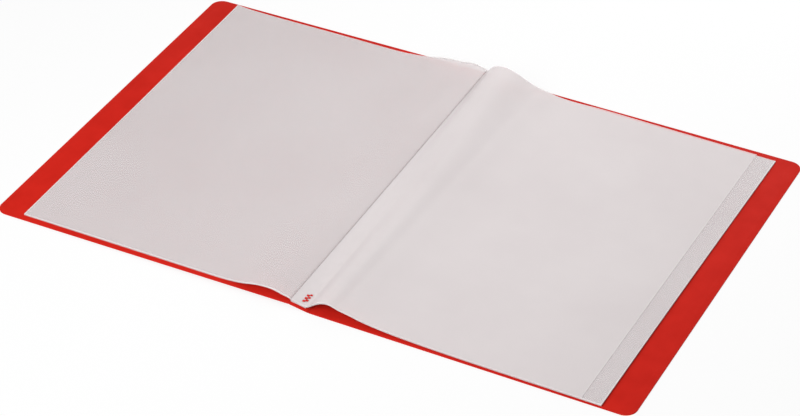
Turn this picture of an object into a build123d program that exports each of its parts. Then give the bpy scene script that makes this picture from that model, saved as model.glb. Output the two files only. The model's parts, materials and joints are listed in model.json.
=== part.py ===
from build123d import *
import os
from math import asin, cos, degrees, radians, sin

# A pocket display book lying open on a table: two plastic covers and a spine in one creased sheet,
# and clear film pockets welded to the inside of the spine. Sizes are in millimetres.

# Covers and spine
cover_width = 237.0
cover_height = 314.0
cover_thickness = 0.7
cover_corner_radius = 9.0
spine_width = 15.0
crease_width = 1.6
crease_thickness = 0.3

# How the open book lies: the spine leans up from the right crease to the left one
spine_lean = 9.4

# Pockets
pocket_count = 20
pockets_on_left = 9
pocket_width = 217.0
pocket_height = 307.0
bottom_margin = 3.0
film_thickness = 0.05
slot_thickness = 0.04
pocket_gap = 0.03
seam_width = 2.0

# The pockets' curled margins beside the spine
bend_reach = 64.0
left_hump_near = 4.5
left_hump_far = 7.5
left_hump_place = 14.0
right_hump_near = 8.0
right_hump_far = 10.0
right_hump_place = 12.0
bend_start_gap = 0.4

# The welded pack of film on the spine
strip_inset = 1.4
lay_gap = 0.05
weld_width = 0.8
weld_height = 0.2
weld_length = 9.0
weld_swing = 1.1
weld_points = 7
weld_end_margin = 5.0
weld_inset = 4.5

# Sizes that follow from those above
half_thickness = cover_thickness / 2
lean = radians(spine_lean)
left_slope = degrees(asin(spine_width * sin(lean) / cover_width))
left_crease_x = -spine_width * cos(lean)
left_crease_z = spine_width * sin(lean)
outline_width = cover_width - left_crease_x + cover_width * cos(radians(left_slope))
centre_shift = outline_width / 2 - cover_width
leaf_thickness = 2 * film_thickness + slot_thickness
margin_thickness = 2 * film_thickness
leaf_pitch = leaf_thickness + pocket_gap
lowest_leaf = half_thickness + lay_gap
strip_thickness = pocket_count / 2 * margin_thickness

# Where the pieces of each cover and of the spine belong: they are drawn around their crease
book = Pos(centre_shift, -cover_height / 2, half_thickness)
right_place = book
spine_place = book * Rot(0, spine_lean, 0)
left_place = book * Pos(left_crease_x, 0, left_crease_z) * Rot(0, -left_slope, 0)
spine_top_place = Pos(0, 0, half_thickness + lay_gap)

os.makedirs("parts", exist_ok=True)


def save(shape, name):
    export_step(shape, f"parts/{name}.step")


def slab(x_from, x_to, y_from, y_to, z_from, z_to):
    """A flat plate between two corners."""
    corner = Pos(min(x_from, x_to), y_from, z_from)
    align = (Align.MIN, Align.MIN, Align.MIN)
    return corner * Box(abs(x_to - x_from), y_to - y_from, z_to - z_from, align=align)


def prism(points, y_from, y_to):
    """A straight bar of the given cross-section, along the spine."""
    outline = Polyline(*[(x, y_from, z) for x, z in points], close=True)
    return extrude(make_face(outline), y_to - y_from, dir=(0, 1, 0))


def cover(side):
    """A cover panel from its crease to its outer edge, with the two outer corners rounded."""
    start = side * crease_width / 2
    panel = slab(start, side * cover_width, 0, cover_height, -half_thickness, half_thickness)
    uprights = panel.edges().filter_by(Axis.Z).group_by(Axis.X)
    outer = uprights[-1] if side > 0 else uprights[0]
    return fillet(outer, cover_corner_radius)


def crease(turn):
    """The thin web of a crease at the origin: one half runs along +X, the other leans by the turn."""
    half_web = crease_thickness / 2
    half_width = crease_width / 2
    across, up = -cos(turn), sin(turn)
    mitre_x, mitre_z = sin(turn / 2), cos(turn / 2)
    rise = half_web / cos(turn / 2)
    end_x, end_z = across * half_width, up * half_width
    points = [
        (half_width, -half_web),
        (half_width, half_web),
        (mitre_x * rise, mitre_z * rise),
        (end_x + up * half_web, end_z - across * half_web),
        (end_x - up * half_web, end_z + across * half_web),
        (-mitre_x * rise, -mitre_z * rise),
    ]
    return prism(points, 0, cover_height)


def margin_section(y, start, crown, end):
    """The cross-section of a pocket's margin: it rises from the spine to a crown and falls to lie flat."""
    outward = 1 if end[0] > start[0] else -1
    flat = (outward, 0, 0)
    steep = (outward, 0, 2)
    start, crown, end = [(x, y, z) for x, z in (start, crown, end)]
    lower = [
        Spline(start, crown, tangents=(steep, flat)),
        Spline(crown, end, tangents=(flat, flat)),
    ]
    lift = Pos(0, 0, margin_thickness)
    upper = [lift * edge for edge in lower]
    ends = [Line(point, (point[0], y, point[2] + margin_thickness)) for point in (start, end)]
    return make_face([*lower, *upper, *ends])


def bend(start, end, crown_x, near_height, far_height):
    """A pocket's welded margin, whose hump grows from the bottom of the pocket to its open top."""
    near, far = bottom_margin, bottom_margin + pocket_height
    level = end[1]
    near_section = margin_section(near, start, (crown_x, level + near_height), end)
    far_section = margin_section(far, start, (crown_x, level + far_height), end)
    return loft([near_section, far_section], ruled=True)


def sleeve(side, reach, level):
    """A pocket's flat part: two films, welded along the spine side, the outer side and the bottom."""
    near, far = bottom_margin, bottom_margin + pocket_height
    inner, outer = side * bend_reach, side * reach
    slot_from = level + film_thickness
    slot_to = slot_from + slot_thickness
    seam_from = near + seam_width
    inner_seam = inner + side * seam_width
    outer_seam = outer - side * seam_width
    return Compound(
        [
            slab(inner, outer, near, far, level, slot_from),
            slab(inner, outer, near, far, slot_to, slot_to + film_thickness),
            slab(inner, outer, near, seam_from, slot_from, slot_to),
            slab(inner, inner_seam, seam_from, far, slot_from, slot_to),
            slab(outer_seam, outer, seam_from, far, slot_from, slot_to),
        ]
    )


def zigzag_weld(y_from):
    """One zigzag bead, where the films are melted into the spine."""
    step = weld_length / (weld_points - 1)
    centre = -weld_inset
    path = Polyline(
        *[(centre + weld_swing * (-1) ** i, y_from + i * step) for i in range(weld_points)]
    )
    return extrude(trace(path, weld_width), weld_height)


# The covers and the spine
save(right_place * cover(1), "back_cover")
save(left_place * cover(-1), "front_cover")
spine = slab(
    -spine_width + crease_width / 2, -crease_width / 2, 0, cover_height, -half_thickness, half_thickness
)
save(spine_place * spine, "spine_panel")

# The two creases: the left one is drawn the other way round, from the spine to the front cover
front_turn = lean + radians(left_slope)
save(book * crease(lean), "back_crease_web")
left_crease_place = book * Pos(left_crease_x, 0, left_crease_z) * Rot(0, spine_lean, 0)
save(left_crease_place * crease(-front_turn), "front_crease_web")

# The pack of pocket margins on the spine, the zigzag welds through it, and the top pocket's own
# margin, which crosses the spine from the left crease to the right one
strip = slab(
    -spine_width + strip_inset,
    -strip_inset,
    bottom_margin,
    bottom_margin + pocket_height,
    0,
    strip_thickness,
)
save(spine_place * spine_top_place * strip, "binding_strip")
first_weld = bottom_margin + weld_end_margin
last_weld = bottom_margin + pocket_height - weld_end_margin - weld_length
weld_starts = [first_weld, (first_weld + last_weld) / 2, last_weld]
welds = Compound([zigzag_weld(y) for y in weld_starts])
save(spine_place * spine_top_place * Pos(0, 0, strip_thickness) * welds, "spine_welds")
gutter_level = strip_thickness + weld_height + lay_gap
gutter_film = slab(
    -spine_width + strip_inset,
    -strip_inset,
    bottom_margin,
    bottom_margin + pocket_height,
    gutter_level,
    gutter_level + margin_thickness,
)
save(spine_place * spine_top_place * gutter_film, "gutter_film")

# The pockets on the left, from the one next to the front cover upwards
for number in range(1, pockets_on_left + 1):
    level = lowest_leaf + (number - 1) * leaf_pitch
    start = (-bend_start_gap, level)
    end = (-bend_reach, level)
    margin = bend(start, end, -left_hump_place, left_hump_near, left_hump_far)
    save(left_place * margin, f"pocket_{number:02d}_bend")
    save(left_place * sleeve(-1, pocket_width, level), f"pocket_{number:02d}")

# The pockets on the right, from the top one down to the one next to the back cover.
# The top one is folded at the left crease, so it crosses the spine and ends a spine's width short.
for number in range(pockets_on_left + 1, pocket_count + 1):
    level = lowest_leaf + (pocket_count - number) * leaf_pitch
    start = (bend_start_gap, level)
    reach = pocket_width
    if number == pockets_on_left + 1:
        reach = pocket_width + left_crease_x
    end = (bend_reach, level)
    margin = bend(start, end, right_hump_place, right_hump_near, right_hump_far)
    save(right_place * margin, f"pocket_{number:02d}_bend")
    save(right_place * sleeve(1, reach, level), f"pocket_{number:02d}")
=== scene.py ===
import json
from math import asin, cos, radians, sin, tan

import bmesh
import bpy
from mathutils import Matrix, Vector


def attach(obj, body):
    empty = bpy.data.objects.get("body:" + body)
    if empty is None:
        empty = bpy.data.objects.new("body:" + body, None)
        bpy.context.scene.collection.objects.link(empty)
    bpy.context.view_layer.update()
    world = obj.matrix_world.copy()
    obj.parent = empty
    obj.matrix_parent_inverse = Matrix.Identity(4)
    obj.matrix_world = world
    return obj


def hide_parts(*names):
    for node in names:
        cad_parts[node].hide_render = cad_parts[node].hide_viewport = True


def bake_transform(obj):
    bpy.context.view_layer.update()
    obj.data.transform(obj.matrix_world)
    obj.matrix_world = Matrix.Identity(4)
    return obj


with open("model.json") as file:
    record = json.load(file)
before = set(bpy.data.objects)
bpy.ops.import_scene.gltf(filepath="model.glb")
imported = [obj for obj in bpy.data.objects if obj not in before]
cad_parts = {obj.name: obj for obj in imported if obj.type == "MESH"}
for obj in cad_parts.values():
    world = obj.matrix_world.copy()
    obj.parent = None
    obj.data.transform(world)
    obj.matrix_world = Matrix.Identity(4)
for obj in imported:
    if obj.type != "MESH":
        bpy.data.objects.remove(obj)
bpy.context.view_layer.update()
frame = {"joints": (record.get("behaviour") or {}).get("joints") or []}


# Front and back covers: two panels of one sheet of red polypropylene, die-cut with rounded outer corners.
# The cut leaves a slightly rounded edge, and the sheet has a fine matt grain from its roller.
mm = 0.001
joint_place = {joint["name"]: Vector(joint["pos_m"]) for joint in frame["joints"]}
back_crease = joint_place["back_crease"]
front_crease = joint_place["front_crease"]
cover_width = 237.0 * mm
cover_height = 314.0 * mm
sheet_thickness = 0.7 * mm
corner_radius = 9.0 * mm
corner_segments = 16
crease_width = 1.6 * mm
cut_rounding = 0.14 * mm
edge_segments = 3
spine_width = 15.0 * mm
spine_lean = radians(9.4)
front_slope = asin(spine_width * sin(spine_lean) / cover_width)
sheet_red = (0.63, 0.020, 0.012, 1.0)
sheet_red_deep = (0.57, 0.017, 0.010, 1.0)
sheet_roughness = (0.50, 0.42)
sheet_grain_depth = 0.06 * mm
sheet_grain_strength = 0.35
sheet_gloss = 0.02
plastic_ior = 1.49
smooth_angle = radians(40)


def begin_plane(name, x_from, x_to, y_from, y_to, z):
    """Adds a flat rectangle between two corners and opens it in edit mode."""
    bpy.ops.object.select_all(action="DESELECT")
    middle = ((x_from + x_to) / 2, (y_from + y_to) / 2, z)
    bpy.ops.mesh.primitive_plane_add(size=1, location=middle)
    piece = bpy.context.object
    piece.name = piece.data.name = name
    piece.scale = (abs(x_to - x_from), y_to - y_from, 1)
    bpy.ops.object.transform_apply(location=True, rotation=True, scale=True)
    bpy.ops.object.mode_set(mode="EDIT")
    bpy.ops.mesh.select_mode(type="VERT")
    return piece


def pick(piece, wanted, kind="verts"):
    """Selects the vertices, edges or faces of the open mesh that a test wants."""
    mesh = bmesh.from_edit_mesh(piece.data)
    for part in (*mesh.verts, *mesh.edges, *mesh.faces):
        part.select = False
    for part in getattr(mesh, kind):
        if wanted(part):
            part.select_set(True)
    if kind == "verts":
        mesh.select_flush(True)
    bmesh.update_edit_mesh(piece.data)


def face_outwards():
    """Turns all faces of the open mesh outwards."""
    bpy.ops.mesh.select_all(action="SELECT")
    bpy.ops.mesh.normals_make_consistent(inside=False)


def sheet_panel(name, x_from, x_to, rounded_x=None):
    """A panel of the sheet with its middle layer on z = 0, one side rounded at both corners if wanted."""
    half = sheet_thickness / 2
    panel = begin_plane(name, x_from, x_to, -cover_height / 2, cover_height / 2, -half)
    if rounded_x is not None:
        pick(panel, lambda v: abs(v.co.x - rounded_x) < 1e-6)
        bpy.ops.mesh.bevel(offset=corner_radius, segments=corner_segments, affect="VERTICES")
    bpy.ops.mesh.select_all(action="SELECT")
    bpy.ops.mesh.extrude_region_move(TRANSFORM_OT_translate={"value": (0, 0, sheet_thickness)})
    face_outwards()
    bpy.ops.mesh.select_mode(type="EDGE")
    pick(panel, lambda e: abs(e.verts[0].co.z - e.verts[1].co.z) < 1e-7, "edges")
    bpy.ops.mesh.bevel(offset=cut_rounding, segments=edge_segments, affect="EDGES")
    bpy.ops.object.mode_set(mode="OBJECT")
    return panel


def choose(piece):
    """Makes one piece the only selected and active one."""
    bpy.ops.object.select_all(action="DESELECT")
    piece.select_set(True)
    bpy.context.view_layer.objects.active = piece


def settle(piece, place, slope=0.0):
    """Moves a finished piece from its own crease to its place in the book, and leans it."""
    choose(piece)
    piece.location = place
    piece.rotation_euler = (0, slope, 0)
    bpy.ops.object.transform_apply(location=True, rotation=True, scale=True)
    bpy.ops.object.shade_smooth_by_angle(angle=smooth_angle)


def node_tree(name):
    """A new material, its nodes, links and shader."""
    material = bpy.data.materials.new(name)
    material.use_nodes = True
    nodes, links = material.node_tree.nodes, material.node_tree.links
    return material, nodes, links, nodes["Principled BSDF"]


# Fine grain that the rollers press into plastic sheet and film: small bumps on broad, soft ones.
# The broad ones also make the mottle in tone, gloss and haze, most of which lies between two values.
broad_share = 0.35
mottle_low = 0.3
mottle_high = 0.7
grain = bpy.data.node_groups.new("rolled_grain", "ShaderNodeTree")
grain.interface.new_socket("Place", in_out="INPUT", socket_type="NodeSocketVector")
for label in ("Fine", "Broad"):
    grain.interface.new_socket(label, in_out="INPUT", socket_type="NodeSocketFloat")
for label in ("Height", "Mottle"):
    grain.interface.new_socket(label, in_out="OUTPUT", socket_type="NodeSocketFloat")
grain_in = grain.nodes.new("NodeGroupInput")
grain_out = grain.nodes.new("NodeGroupOutput")
fine_bumps = grain.nodes.new("ShaderNodeTexNoise")
broad_bumps = grain.nodes.new("ShaderNodeTexNoise")
fine_bumps.inputs["Detail"].default_value = 2.0
broad_bumps.inputs["Detail"].default_value = 3.0
grain.links.new(grain_in.outputs["Place"], fine_bumps.inputs["Vector"])
grain.links.new(grain_in.outputs["Place"], broad_bumps.inputs["Vector"])
grain.links.new(grain_in.outputs["Fine"], fine_bumps.inputs["Scale"])
grain.links.new(grain_in.outputs["Broad"], broad_bumps.inputs["Scale"])
added = grain.nodes.new("ShaderNodeMath")
added.operation = "MULTIPLY_ADD"
added.inputs[1].default_value = broad_share
grain.links.new(broad_bumps.outputs["Fac"], added.inputs[0])
grain.links.new(fine_bumps.outputs["Fac"], added.inputs[2])
grain.links.new(added.outputs["Value"], grain_out.inputs["Height"])
grain.links.new(broad_bumps.outputs["Fac"], grain_out.inputs["Mottle"])


def add_grain(nodes, links, place, fine, broad):
    """The rolled grain at the given numbers of bumps per metre."""
    group = nodes.new("ShaderNodeGroup")
    group.node_tree = grain
    links.new(place, group.inputs["Place"])
    group.inputs["Fine"].default_value = fine
    group.inputs["Broad"].default_value = broad
    return group


def add_range(nodes, links, source, low, high, to_low, to_high):
    """Spreads a pattern's values over a new range."""
    spread = nodes.new("ShaderNodeMapRange")
    for label, value in zip(("From Min", "From Max", "To Min", "To Max"), (low, high, to_low, to_high)):
        spread.inputs[label].default_value = value
    links.new(source, spread.inputs["Value"])
    return spread.outputs["Result"]


def spread_mottle(nodes, links, mottle, to_low, to_high):
    """Spreads the grain's mottle over a new range."""
    return add_range(nodes, links, mottle, mottle_low, mottle_high, to_low, to_high)


def add_mix(nodes, links, source, first, second):
    """Mixes two colours by a pattern."""
    mix = nodes.new("ShaderNodeMix")
    mix.data_type = "RGBA"
    mix.inputs["A"].default_value = first
    mix.inputs["B"].default_value = second
    links.new(source, mix.inputs["Factor"])
    return mix.outputs["Result"]


def add_bump(nodes, links, height, distance, strength, shader):
    """Raises the surface's grain into the shader's normal."""
    bump = nodes.new("ShaderNodeBump")
    bump.inputs["Strength"].default_value = strength
    bump.inputs["Distance"].default_value = distance
    links.new(height, bump.inputs["Height"])
    links.new(bump.outputs["Normal"], shader.inputs["Normal"])


red_sheet, nodes, links, shader = node_tree("red_polypropylene_sheet")
place = nodes.new("ShaderNodeTexCoord").outputs["Object"]
sheet_grain = add_grain(nodes, links, place, fine=2400.0, broad=55.0)
mottle = sheet_grain.outputs["Mottle"]
tone = spread_mottle(nodes, links, mottle, 0.0, 1.0)
links.new(add_mix(nodes, links, tone, sheet_red_deep, sheet_red), shader.inputs["Base Color"])
links.new(spread_mottle(nodes, links, mottle, *sheet_roughness), shader.inputs["Roughness"])
add_bump(nodes, links, sheet_grain.outputs["Height"], sheet_grain_depth, sheet_grain_strength, shader)
shader.inputs["IOR"].default_value = plastic_ior
shader.inputs["Specular IOR Level"].default_value = sheet_gloss

back_cover = sheet_panel("back_cover_panel", crease_width / 2, cover_width, rounded_x=cover_width)
settle(back_cover, back_crease)
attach(back_cover, "back_cover")
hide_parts("back_cover")

front_cover = sheet_panel("front_cover_panel", -crease_width / 2, -cover_width, rounded_x=-cover_width)
settle(front_cover, front_crease, -front_slope)
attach(front_cover, "front_cover")
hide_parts("front_cover")

for panel in (back_cover, front_cover):
    panel.data.materials.append(red_sheet)


# Spine and creases: the same sheet runs on between the covers. Two scored lines leave a thin web that folds,
# so each crease is a shallow groove on both faces, and the spine is the strip between them.
web_thickness = 0.3 * mm
web_overlap = 0.25 * mm
web_steps = 8

spine = sheet_panel("spine_panel_strip", -spine_width + crease_width / 2, -crease_width / 2)
settle(spine, back_crease, spine_lean)
spine.data.materials.append(red_sheet)
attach(spine, "spine")
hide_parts("spine_panel")


def crease_web(name, place, slope, turn):
    """A folded web: an edge drawn out in short steps, each turned a little more than the last."""
    half = crease_width / 2 + web_overlap
    step = 2 * half / web_steps
    web = begin_plane(name, -half, -half + step, -cover_height / 2, cover_height / 2, 0)
    angle = 0.0
    pick(web, lambda v: v.co.x > -half + step / 2)
    for _ in range(web_steps - 1):
        angle += turn / (web_steps - 1)
        move = (step * cos(angle), 0, -step * sin(angle))
        bpy.ops.mesh.extrude_edges_move(TRANSFORM_OT_translate={"value": move})
    bpy.ops.object.mode_set(mode="OBJECT")
    wall = web.modifiers.new("web", "SOLIDIFY")
    wall.thickness = web_thickness
    wall.offset = 0.0
    bpy.ops.object.modifier_apply(modifier=wall.name)
    bpy.ops.object.mode_set(mode="EDIT")
    face_outwards()
    bpy.ops.object.mode_set(mode="OBJECT")
    settle(web, place, slope)
    web.data.materials.append(red_sheet)
    return web


back_web = crease_web("back_crease_fold", back_crease, spine_lean, -spine_lean)
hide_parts("back_crease_web")
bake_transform(back_web)
front_web = crease_web("front_crease_fold", front_crease, -front_slope, spine_lean + front_slope)
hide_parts("front_crease_web")
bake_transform(front_web)


# Binding pack: the inner margins of the pockets, laid on the inside of the spine and melted together.
# Each margin is a strip of film, and their cut ends are not quite level. The pack sits a little askew.
pack_left = -15.0 * mm
pack_right = -3.4 * mm
pack_bottom = 0.4 * mm
pack_layers = 3
pack_layer = 0.05 * mm
pack_skew = 0.3 * mm
pack_trims = (1.0015, 0.9985)
page_near = -cover_height / 2 + 3.0 * mm
page_far = page_near + 307.0 * mm
film_white = (0.954, 0.913, 0.916, 1.0)
film_grey = (0.928, 0.888, 0.891, 1.0)
film_roughness = (0.44, 0.36)
film_grain_depth = 0.04 * mm
film_grain_strength = 0.08
fused_grain_strength = 0.3
fused_haze = (0.84, 0.92)

fused_film, nodes, links, shader = node_tree("fused_film_margins")
place = nodes.new("ShaderNodeTexCoord").outputs["Object"]
fused_grain = add_grain(nodes, links, place, fine=1500.0, broad=40.0)
mottle = fused_grain.outputs["Mottle"]
links.new(add_mix(nodes, links, mottle, film_grey, film_white), shader.inputs["Base Color"])
links.new(spread_mottle(nodes, links, mottle, *fused_haze), shader.inputs["Alpha"])
links.new(spread_mottle(nodes, links, mottle, *film_roughness), shader.inputs["Roughness"])
add_bump(nodes, links, fused_grain.outputs["Height"], film_grain_depth, fused_grain_strength, shader)
shader.inputs["IOR"].default_value = plastic_ior

pack = begin_plane("binding_pack", pack_left, pack_right, page_near, page_far, pack_bottom)
pick(pack, lambda v: v.co.x > pack_left + mm and v.co.y < 0)
bpy.ops.transform.translate(value=(0, -pack_skew, 0))
for layer in range(pack_layers):
    pick(pack, lambda f: abs(f.calc_center_median().z - pack_bottom - layer * pack_layer) < 1e-7, "faces")
    bpy.ops.mesh.extrude_region_move(TRANSFORM_OT_translate={"value": (0, 0, pack_layer)})
    bpy.ops.transform.resize(value=(1.0, pack_trims[layer % 2], 1.0))
face_outwards()
bpy.ops.object.mode_set(mode="OBJECT")
settle(pack, back_crease, spine_lean)
pack.data.materials.append(fused_film)
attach(pack, "spine")
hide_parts("binding_strip")


# Spine welds: a hot zigzag tool melts the margins into the red spine, so each weld is a red zigzag bead
# that comes up through the film. It is thick at its turns and thin between them.
weld_turn = 1.7 * mm
weld_neck = 0.7 * mm
weld_blob = 1.15 * mm
weld_heights = (1.5 * mm, 0.25 * mm, 0.25 * mm)
weld_swing = 0.9 * mm
weld_points = 6
weld_length = 8.0 * mm
weld_middle = -6.6 * mm
weld_ends = 3.5 * mm
weld_edge = 0.12 * mm
weld_sharp = 1.0
weld_roughness = (0.40, 0.28)
weld_grain_depth = 0.08 * mm
weld_grain_strength = 0.5
weld_gloss = 0.1
weld_base = pack_bottom + pack_layers * pack_layer

red_weld, nodes, links, shader = node_tree("melted_red_weld")
place = nodes.new("ShaderNodeTexCoord").outputs["Object"]
weld_grain = add_grain(nodes, links, place, fine=3000.0, broad=600.0)
mottle = weld_grain.outputs["Mottle"]
links.new(add_mix(nodes, links, mottle, sheet_red_deep, sheet_red), shader.inputs["Base Color"])
links.new(spread_mottle(nodes, links, mottle, *weld_roughness), shader.inputs["Roughness"])
add_bump(nodes, links, weld_grain.outputs["Height"], weld_grain_depth, weld_grain_strength, shader)
shader.inputs["Specular IOR Level"].default_value = weld_gloss


def join_pieces(pieces, name):
    """Joins pieces into the first of them, under a new name."""
    choose(pieces[0])
    for piece in pieces:
        piece.select_set(True)
    bpy.ops.object.join()
    pieces[0].name = pieces[0].data.name = name
    return pieces[0]


weld_step = weld_length / (weld_points - 1)
weld_starts = [
    page_near + weld_ends,
    (page_near + page_far - weld_length) / 2,
    page_far - weld_ends - weld_length,
]
zigzags = []
for number, (start, weld_height) in enumerate(zip(weld_starts, weld_heights), 1):
    x, y = weld_middle - weld_swing, start
    half_turn = weld_turn / 2
    zigzag = begin_plane(f"spine_weld_{number}", x - half_turn, x + half_turn, y, y + weld_blob, weld_base)
    y += weld_blob
    pick(zigzag, lambda v: v.co.y > start + weld_blob / 2)
    for point in range(weld_points - 1):
        half_move = Vector((weld_swing * (-1 if point % 2 else 1), (weld_step - weld_blob) / 2, 0))
        for widen in (weld_neck / weld_turn, weld_turn / weld_neck):
            x, y = x + half_move.x, y + half_move.y
            bpy.ops.mesh.extrude_edges_move(TRANSFORM_OT_translate={"value": half_move})
            bpy.ops.transform.resize(value=(widen, 1, 1), center_override=(x, y, weld_base))
        bpy.ops.mesh.extrude_edges_move(TRANSFORM_OT_translate={"value": (0, weld_blob, 0)})
        y += weld_blob
    bpy.ops.mesh.select_all(action="SELECT")
    bpy.ops.mesh.extrude_region_move(TRANSFORM_OT_translate={"value": (0, 0, weld_height)})
    face_outwards()
    bpy.ops.mesh.select_mode(type="EDGE")
    upper = weld_base + weld_height / 2
    pick(
        zigzag,
        lambda e: min(v.co.z for v in e.verts) > upper and e.calc_face_angle() > weld_sharp,
        "edges",
    )
    bpy.ops.mesh.bevel(offset=weld_edge, segments=edge_segments, affect="EDGES")
    bpy.ops.object.mode_set(mode="OBJECT")
    zigzags.append(zigzag)
welds = join_pieces(zigzags, "zigzag_welds")
settle(welds, back_crease, spine_lean)
welds.data.materials.append(red_weld)
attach(welds, "spine")
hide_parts("spine_welds")


# Left-hand pockets: two frosted films each, welded along three sides and open at the top. Beside the spine
# each pocket curls up in a soft hump, higher towards its open top, and then lies flat on the cover.
# The binding sits a little askew, so the pages do too.
pocket_thickness = 0.075 * mm
pocket_pitch = 0.09 * mm
edge_pitch = 0.03 * mm
page_skew = radians(0.5)
page_bottom = 0.4 * mm
slot_depth = 0.5 * mm
slot_wall = 0.025 * mm
slot_rim = 8.0 * mm
slot_facing = 0.8
seam_white = (0.985, 0.972, 0.974, 1.0)
seam_full_to = 0.5
seam_ends_at = 1.0
rows_along = 9
row_crowding = 0.7
row_reach = 5.0 * mm
long_edge = 200.0 * mm
film_smoothing = 2
curl_reach = 34.0 * mm
flat_from = 25.0 * mm
flat_over = 45.0 * mm
ripple_size = 85.0 * mm
ripple_height = 0.05 * mm
left_ripple_step = 0.06 * mm

# Stations of a curl, from the spine outwards: the distance from the crease and the height at the near
# end of the book and at its far end, in millimetres. A third number brings that end nearer.
left_curl = [
    ((-0.1, -0.75), (-0.1, -0.75)),
    ((0.0, -0.4), (0.05, -0.5)),
    ((0.1, 0.6), (0.05, 3.9)),
    ((0.8, 1.25), (0.3, 4.5)),
    ((1.6, 1.7), (0.9, 4.95)),
    ((3.8, 2.4), (1.9, 5.35)),
    ((7.4, 3.2), (3.8, 5.9)),
    ((12.4, 4.8), (8.0, 7.05)),
    ((18.4, 5.0), (13.5, 7.3)),
    ((25.4, 4.6), (20.0, 5.7)),
    ((32.4, 2.9), (27.0, 5.55)),
    ((39.4, 1.4), (34.0, 5.3)),
    ((47.4, 0.4), (43.5, 3.3)),
    ((57.0, 0.0), (54.0, 1.0, 0.4)),
    ((65.0, 0.0), (63.0, 0.4, 0.5)),
    ((73.0, 0.0), (71.0, 0.0, 1.7)),
    ((110.0, 0.0), (110.0, 0.0, 1.1)),
    ((160.0, 0.0), (160.0, 0.0, 1.5)),
    ((203.5, 0.0), (205.5, 0.0, 1.8)),
    ((215.2, 0.0), (217.0, 0.0, -0.3)),
]


def frosted_film(name, grey, white, seam_tone, thin_haze, full_haze, seam_haze):
    """Pocket film: cloudy in soft patches, finely grained, and whiter along its welded seams."""
    material, nodes, links, shader = node_tree(name)
    place = nodes.new("ShaderNodeTexCoord").outputs["Object"]
    film_grain = add_grain(nodes, links, place, fine=1500.0, broad=9.0)
    mottle = film_grain.outputs["Mottle"]
    # The edge map holds the distance from the film's outer edge and from its bottom edge, in millimetres.
    edge_map = nodes.new("ShaderNodeUVMap")
    edge_map.uv_map = "from_edges"
    edge_parts = nodes.new("ShaderNodeSeparateXYZ")
    links.new(edge_map.outputs["UV"], edge_parts.inputs["Vector"])
    nearest = nodes.new("ShaderNodeMath")
    nearest.operation = "MINIMUM"
    links.new(edge_parts.outputs["X"], nearest.inputs[0])
    links.new(edge_parts.outputs["Y"], nearest.inputs[1])
    seam = add_range(nodes, links, nearest.outputs["Value"], seam_full_to, seam_ends_at, 1.0, 0.0)
    cloud = add_mix(nodes, links, spread_mottle(nodes, links, mottle, 0.0, 1.0), grey, white)
    tone = nodes.new("ShaderNodeMix")
    tone.data_type = "RGBA"
    tone.inputs["B"].default_value = seam_tone
    links.new(seam, tone.inputs["Factor"])
    links.new(cloud, tone.inputs["A"])
    links.new(tone.outputs["Result"], shader.inputs["Base Color"])
    haze = nodes.new("ShaderNodeMath")
    haze.operation = "MULTIPLY_ADD"
    haze.inputs[1].default_value = seam_haze
    links.new(seam, haze.inputs[0])
    links.new(spread_mottle(nodes, links, mottle, thin_haze, full_haze), haze.inputs[2])
    links.new(haze.outputs["Value"], shader.inputs["Alpha"])
    links.new(spread_mottle(nodes, links, mottle, *film_roughness), shader.inputs["Roughness"])
    add_bump(nodes, links, film_grain.outputs["Height"], film_grain_depth, film_grain_strength, shader)
    shader.inputs["IOR"].default_value = plastic_ior
    return material


clear_film = frosted_film(
    "frosted_pocket_film", film_grey, film_white, seam_white,
    thin_haze=0.115,
    full_haze=0.135,
    seam_haze=0.25,
)


def film_surface(name, side, curl, level):
    """One film drawn out from the spine, station by station, then divided along the spine and smoothed."""
    def corner(station, end):
        """A station's point at the near end (0) or the far end (1) of the book."""
        x, z, nearer = (*station[end], 0.0)[:3]
        y = (page_near, page_far)[end] - nearer * mm
        return Vector((side * x * mm, y - side * x * mm * tan(page_skew), level + z * mm))

    near, far = corner(curl[0], 0), corner(curl[0], 1)
    film = begin_plane(name, near.x - mm, near.x, near.y, near.y + 1, near.z)
    pick(film, lambda v: v.co.x < near.x - mm / 2)
    bpy.ops.mesh.delete(type="VERT")
    pick(film, lambda v: v.co.y > near.y + 0.5)
    bpy.ops.transform.translate(value=far - near - Vector((0, 1, 0)))
    bpy.ops.mesh.select_all(action="SELECT")
    for station in curl[1:]:
        next_near, next_far = corner(station, 0), corner(station, 1)
        step = next_near - near
        bpy.ops.mesh.extrude_edges_move(TRANSFORM_OT_translate={"value": step})
        pick(film, lambda v: (v.co - far - step).length < 1e-6)
        bpy.ops.transform.translate(value=next_far - far - step)
        pick(film, lambda v: min((v.co - next_near).length, (v.co - next_far).length) < 1e-6)
        near, far = next_near, next_far
    bpy.ops.mesh.select_mode(type="EDGE")
    pick(film, lambda e: abs(e.verts[0].co.y - e.verts[1].co.y) > long_edge, "edges")
    bpy.ops.mesh.subdivide(number_cuts=rows_along)
    bpy.ops.mesh.select_mode(type="VERT")
    length = page_far - page_near
    for row in range(rows_along, 0, -1):
        share = row / (rows_along + 1)
        line = page_near + share * length
        pick(film, lambda v: abs(v.co.y + v.co.x * tan(page_skew) - line) < row_reach)
        bpy.ops.transform.translate(value=(0, (share**row_crowding - share) * length, 0))
    bpy.ops.object.mode_set(mode="OBJECT")
    smooth = film.modifiers.new("smooth", "SUBSURF")
    smooth.levels = smooth.render_levels = film_smoothing
    smooth.boundary_smooth = "PRESERVE_CORNERS"
    bpy.ops.object.modifier_apply(modifier=smooth.name)
    if sum(p.normal.z for p in film.data.polygons) < 0:
        film.data.flip_normals()
    return film


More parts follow.
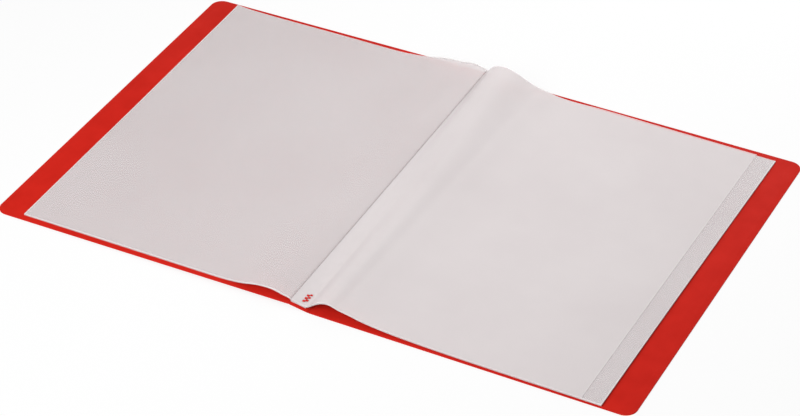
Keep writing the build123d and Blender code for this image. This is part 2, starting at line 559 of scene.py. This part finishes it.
def copy_film(film, name, under, side, root, root_pitch):
    """A copy of a film, lower in the stack, curled a little tighter and pressed together at its root."""
    copy = film.copy()
    copy.data = film.data.copy()
    copy.name = copy.data.name = name
    bpy.context.scene.collection.objects.link(copy)
    choose(copy)
    bpy.ops.object.mode_set(mode="EDIT")
    bpy.ops.mesh.select_mode(type="VERT")
    pick(copy, lambda v: abs(v.co.x) < curl_reach)
    bpy.ops.transform.translate(value=(side * under * pocket_pitch, 0, 0))
    closer = Vector((-side * (pocket_pitch - edge_pitch), 0, pocket_pitch - root_pitch))
    for line in root:
        pick(copy, lambda v: side * v.co.x < line * mm)
        bpy.ops.transform.translate(value=closer * under / len(root))
    bpy.ops.mesh.select_all(action="SELECT")
    bpy.ops.transform.translate(value=(0, 0, -under * pocket_pitch))
    bpy.ops.object.mode_set(mode="OBJECT")
    return copy


ripples = bpy.data.textures.new("page_ripples", "CLOUDS")
ripples.noise_scale = ripple_size
ripples.noise_depth = 1


def finish_film(film, side, outer, thickness, ripple, material):
    """Gives a film its edge map, its gentle ripples away from the spine, and its thickness."""
    choose(film)
    edges = film.data.uv_layers.new(name="from_edges")
    lying = film.vertex_groups.new(name="lying_flat")
    for vertex in film.data.vertices:
        flatness = min(1.0, max(0.0, (abs(vertex.co.x) - flat_from) / flat_over))
        lying.add([vertex.index], flatness, "REPLACE")
    for loop in film.data.loops:
        x, y, _ = film.data.vertices[loop.vertex_index].co
        up = y + x * tan(page_skew) - page_near
        reach = outer[0] + (outer[1] - outer[0]) * up / (page_far - page_near)
        edges.data[loop.index].uv = (reach - side * x / mm, up / mm)
    if ripple:
        wave = film.modifiers.new("ripples", "DISPLACE")
        wave.texture = ripples
        wave.direction = "Z"
        wave.mid_level = 0.0
        wave.strength = ripple
        wave.vertex_group = lying.name
        bpy.ops.object.modifier_apply(modifier=wave.name)
    wall = film.modifiers.new("thickness", "SOLIDIFY")
    wall.thickness = thickness
    wall.offset = 1.0
    bpy.ops.object.modifier_apply(modifier=wall.name)
    film.vertex_groups.clear()
    film.data.materials.append(material)


def open_top(film):
    """Opens the slot between the two films along the pocket's top edge."""
    bpy.ops.object.mode_set(mode="EDIT")
    bpy.ops.mesh.select_mode(type="FACE")
    rim = page_far - slot_rim
    pick(film, lambda f: f.normal.y > slot_facing and f.calc_center_median().y > rim, "faces")
    bpy.ops.mesh.inset(thickness=slot_wall, use_even_offset=True)
    bpy.ops.mesh.extrude_region_move(TRANSFORM_OT_translate={"value": (0, -slot_depth, 0)})
    bpy.ops.object.mode_set(mode="OBJECT")


left_count = 9
left_root = (5.0, 3.5, 2.0, 0.8)
left_root_pitch = 0.02 * mm
left_outer = (left_curl[-1][0][0], left_curl[-1][1][0])
left_film = film_surface("left_pocket_film", -1, left_curl, page_bottom + (left_count - 1) * pocket_pitch)
for number in range(1, left_count + 1):
    pocket = f"pocket_{number:02d}"
    under = left_count - number
    leaf = copy_film(left_film, f"{pocket}_leaf", under, -1, left_root, left_root_pitch)
    ripple = ripple_height + left_ripple_step * (number - 1)
    finish_film(leaf, -1, left_outer, pocket_thickness, ripple, clear_film)
    open_top(leaf)
    settle(leaf, front_crease, -front_slope)
    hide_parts(pocket, f"{pocket}_bend")
    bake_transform(leaf)
bpy.data.objects.remove(left_film)


# Right-hand pockets: their margins run on across the spine to the front crease, and are pressed together
# there. The front cover pushes that fold aside as it closes, and the rest stays on the spine. The uppermost
# pocket gets a whiter, hazier copy of the film, painted sheen for its brighter look, and it ends a spine's
# width short.
crossing_curl = [
    ((-14.9, 2.9), (-14.9, 6.1)),
    ((-12.5, 2.3, 0.1), (-14.1, 6.8)),
    ((-9.8, 1.65, 0.4), (-12.9, 8.2)),
    ((-7.0, 1.15, 0.6), (-10.9, 10.8)),
    ((-5.1, 0.85, 0.7), (-7.8, 12.8)),
    ((-3.2, 0.85, 0.4), (-4.4, 13.6)),
    ((-1.4, 1.5, 0.1), (-0.4, 13.95)),
    ((1.0, 3.7), (3.8, 13.15)),
    ((5.0, 7.1), (8.9, 11.7)),
    ((8.7, 8.7), (13.9, 9.4)),
    ((12.7, 9.5), (18.9, 7.0)),
    ((16.7, 8.4), (24.0, 5.1)),
    ((20.7, 6.95), (29.0, 3.7)),
    ((27.7, 6.1), (34.6, 3.0)),
    ((36.5, 4.2), (42.0, 1.3, 0.3)),
    ((46.0, 2.8), (52.0, 0.6, 0.4)),
    ((61.0, 1.5), (63.0, 0.4, 0.1)),
    ((80.0, 0.7), (76.0, 0.4, -0.9)),
    ((110.0, 0.2), (110.0, 0.1, -0.8)),
    ((155.0, 0.2), (155.0, 0.0, -0.4)),
    ((214.6, 0.3), (217.5, 0.0, -0.4)),
]

# The fold runs from the front crease to fold_end, measured from the back crease.
fold_end = Vector((-9.0 * mm, 0, 0))
right_count = 11
right_root = (6.0, 4.0, 2.0, 0.0)
right_root_pitch = 0.06 * mm
margin_thickness = 0.05 * mm
lower_short = 0.5 * mm
right_ripple_step = 0.05 * mm
right_outer = (crossing_curl[-1][0][0], crossing_curl[-1][1][0])
top_short = (14.2, 15.0)
top_outer = (right_outer[0] - top_short[0], right_outer[1] - top_short[1])
# Painted sheen: whiter colours and a hazier film for the uppermost pocket, standing in for the right page's
# brighter sheen.
sheen_painted_white = (0.976, 0.917, 0.921, 1.0)
sheen_painted_grey = (0.968, 0.909, 0.913, 1.0)
sheen_painted_seam = (0.978, 0.930, 0.934, 1.0)

sheen_painted_film = frosted_film(
    "loose_pocket_film", sheen_painted_grey, sheen_painted_white, sheen_painted_seam,
    thin_haze=0.33,
    full_haze=0.37,
    seam_haze=0.03,
)
top_level = page_bottom + (right_count - 1) * pocket_pitch
right_film = film_surface("right_pocket_film", 1, crossing_curl, top_level)
folds, margins = [], []
for number in range(left_count + 1, left_count + right_count + 1):
    pocket = f"pocket_{number:02d}"
    under = number - left_count - 1
    leaf = copy_film(right_film, f"{pocket}_leaf", under, 1, right_root, right_root_pitch)
    # The uppermost pocket takes the film copy with painted sheen.
    outer, finish = (right_outer, clear_film) if under else (top_outer, sheen_painted_film)
    bpy.ops.object.mode_set(mode="EDIT")
    bpy.ops.mesh.select_all(action="SELECT")
    if under:
        cut = (0, page_far - lower_short, 0)
        bpy.ops.mesh.bisect(plane_co=cut, plane_no=(tan(page_skew), 1, 0), clear_outer=True)
    else:
        lean = (outer[1] - outer[0]) * mm / (page_far - page_near)
        cut = (outer[0] * mm, page_near, 0)
        bpy.ops.mesh.bisect(plane_co=cut, plane_no=(1, -lean, 0), clear_outer=True)
    bpy.ops.mesh.select_all(action="SELECT")
    bpy.ops.mesh.bisect(plane_co=fold_end, plane_no=(1, 0, 0))
    bpy.ops.object.mode_set(mode="OBJECT")
    for strips, end in ((folds, fold_end.x), (margins, under * pocket_pitch)):
        choose(leaf)
        bpy.ops.object.mode_set(mode="EDIT")
        bpy.ops.mesh.select_mode(type="FACE")
        pick(leaf, lambda f: f.calc_center_median().x < end, "faces")
        bpy.ops.mesh.separate(type="SELECTED")
        bpy.ops.object.mode_set(mode="OBJECT")
        strip = [piece for piece in bpy.context.selected_objects if piece != leaf][0]
        finish_film(strip, 1, outer, margin_thickness, 0.0, finish)
        strips.append(strip)
    ripple = ripple_height + right_ripple_step * (right_count - 1 - under)
    finish_film(leaf, 1, outer, pocket_thickness, ripple, finish)
    open_top(leaf)
    settle(leaf, back_crease)
    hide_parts(pocket, f"{pocket}_bend")
    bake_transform(leaf)
bpy.data.objects.remove(right_film)
for name, strips in (("gutter_fold", folds), ("gutter_margins", margins)):
    gutter_piece = join_pieces(strips, name)
    settle(gutter_piece, back_crease)
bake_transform(folds[0])
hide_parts("gutter_film")
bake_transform(margins[0])


# Studio: a white table that keeps a soft shadow, an even white room, and three broad lamps: a strong one in
# front, which reaches under the pockets' humps, one across from it and a weak one overhead.
# What the eye, a reflection or a clear surface sees of the room is plain white, and so is most of the table.
table_size = 14.0
table_drop = 0.05 * mm
table_tone = (0.93, 0.93, 0.93, 1.0)
table_white_share = 0.85
table_roughness = 0.9
table_gloss = 0.1
room_light = 0.25


def add_seen(nodes, links):
    """One for rays that look straight at a surface, or at its mirror image, or through something clear."""
    rays = nodes.new("ShaderNodeLightPath")
    seen = rays.outputs["Is Camera Ray"]
    for kind in ("Is Glossy Ray", "Is Transmission Ray"):
        either = nodes.new("ShaderNodeMath")
        either.operation = "MAXIMUM"
        links.new(seen, either.inputs[0])
        links.new(rays.outputs[kind], either.inputs[1])
        seen = either.outputs["Value"]
    return seen


bpy.ops.object.select_all(action="DESELECT")
bpy.ops.mesh.primitive_plane_add(size=table_size, location=(0, 0, -table_drop))
floor = bpy.context.object
floor.name = "white_table"
table_white, nodes, links, shader = node_tree("white_table")
shader.inputs["Base Color"].default_value = table_tone
shader.inputs["Roughness"].default_value = table_roughness
shader.inputs["Specular IOR Level"].default_value = table_gloss
bright = nodes.new("ShaderNodeEmission")
share = nodes.new("ShaderNodeMath")
share.operation = "MULTIPLY"
share.inputs[1].default_value = table_white_share
blend_shader = nodes.new("ShaderNodeMixShader")
links.new(add_seen(nodes, links), share.inputs[0])
links.new(share.outputs["Value"], blend_shader.inputs["Fac"])
links.new(shader.outputs["BSDF"], blend_shader.inputs[1])
links.new(bright.outputs["Emission"], blend_shader.inputs[2])
links.new(blend_shader.outputs["Shader"], nodes["Material Output"].inputs["Surface"])
floor.data.materials.append(table_white)

world = bpy.data.worlds.new("white_room")
bpy.context.scene.world = world
world.use_nodes = True
nodes, links = world.node_tree.nodes, world.node_tree.links
room = nodes["Background"]
room.inputs["Color"].default_value = (1, 1, 1, 1)
room.inputs["Strength"].default_value = room_light
backdrop = nodes.new("ShaderNodeBackground")
backdrop.inputs["Color"].default_value = (1, 1, 1, 1)
backdrop.inputs["Strength"].default_value = 1.0
chosen = nodes.new("ShaderNodeMixShader")
links.new(add_seen(nodes, links), chosen.inputs["Fac"])
links.new(room.outputs["Background"], chosen.inputs[1])
links.new(backdrop.outputs["Background"], chosen.inputs[2])
links.new(chosen.outputs["Shader"], nodes["World Output"].inputs["Surface"])

for name, spot, breadth, power in (
    ("front_lamp", (-0.4, -1.2, 0.8), 1.4, 17.8),
    ("back_lamp", (0.1, 0.5, 0.4), 0.8, 2.1),
    ("overhead_lamp", (-0.05, -0.05, 0.5), 0.5, 0.68),
):
    bpy.ops.object.light_add(type="AREA", location=spot)
    lamp = bpy.context.object
    lamp.name = name
    lamp.data.shape = "DISK"
    lamp.data.size = breadth
    lamp.data.energy = power
    lamp.rotation_euler = (-lamp.location).to_track_quat("-Z", "Y").to_euler()
    lamp.visible_camera = False


# Camera: in front of the book and to its right, looking down on it through a long lens. It is aimed at a
# point on the table close to the book's middle, and hardly rolled.
camera_turn = radians(26.8807)
camera_tilt = radians(36.5067)
camera_roll = radians(0.2275)
camera_reach = 1.986286
lens_length = 126.3722
sensor_width = 36.0
farthest_seen = 50.0
aim = Vector((0.0082385, -0.0224404, 0.0))
flat = cos(camera_tilt)
back = Vector((sin(camera_turn) * flat, -cos(camera_turn) * flat, sin(camera_tilt)))
bpy.ops.object.camera_add(location=aim + back * camera_reach)
camera = bpy.context.object
camera.rotation_euler = (radians(90) - camera_tilt, 0, camera_turn)
camera.rotation_euler.rotate_axis("Z", camera_roll)
camera.data.lens = lens_length
camera.data.sensor_width = sensor_width
camera.data.clip_end = farthest_seen
bpy.context.scene.camera = camera
bpy.context.scene.view_settings.view_transform = "Standard"
bpy.context.scene.cycles.transparent_max_bounces = 96
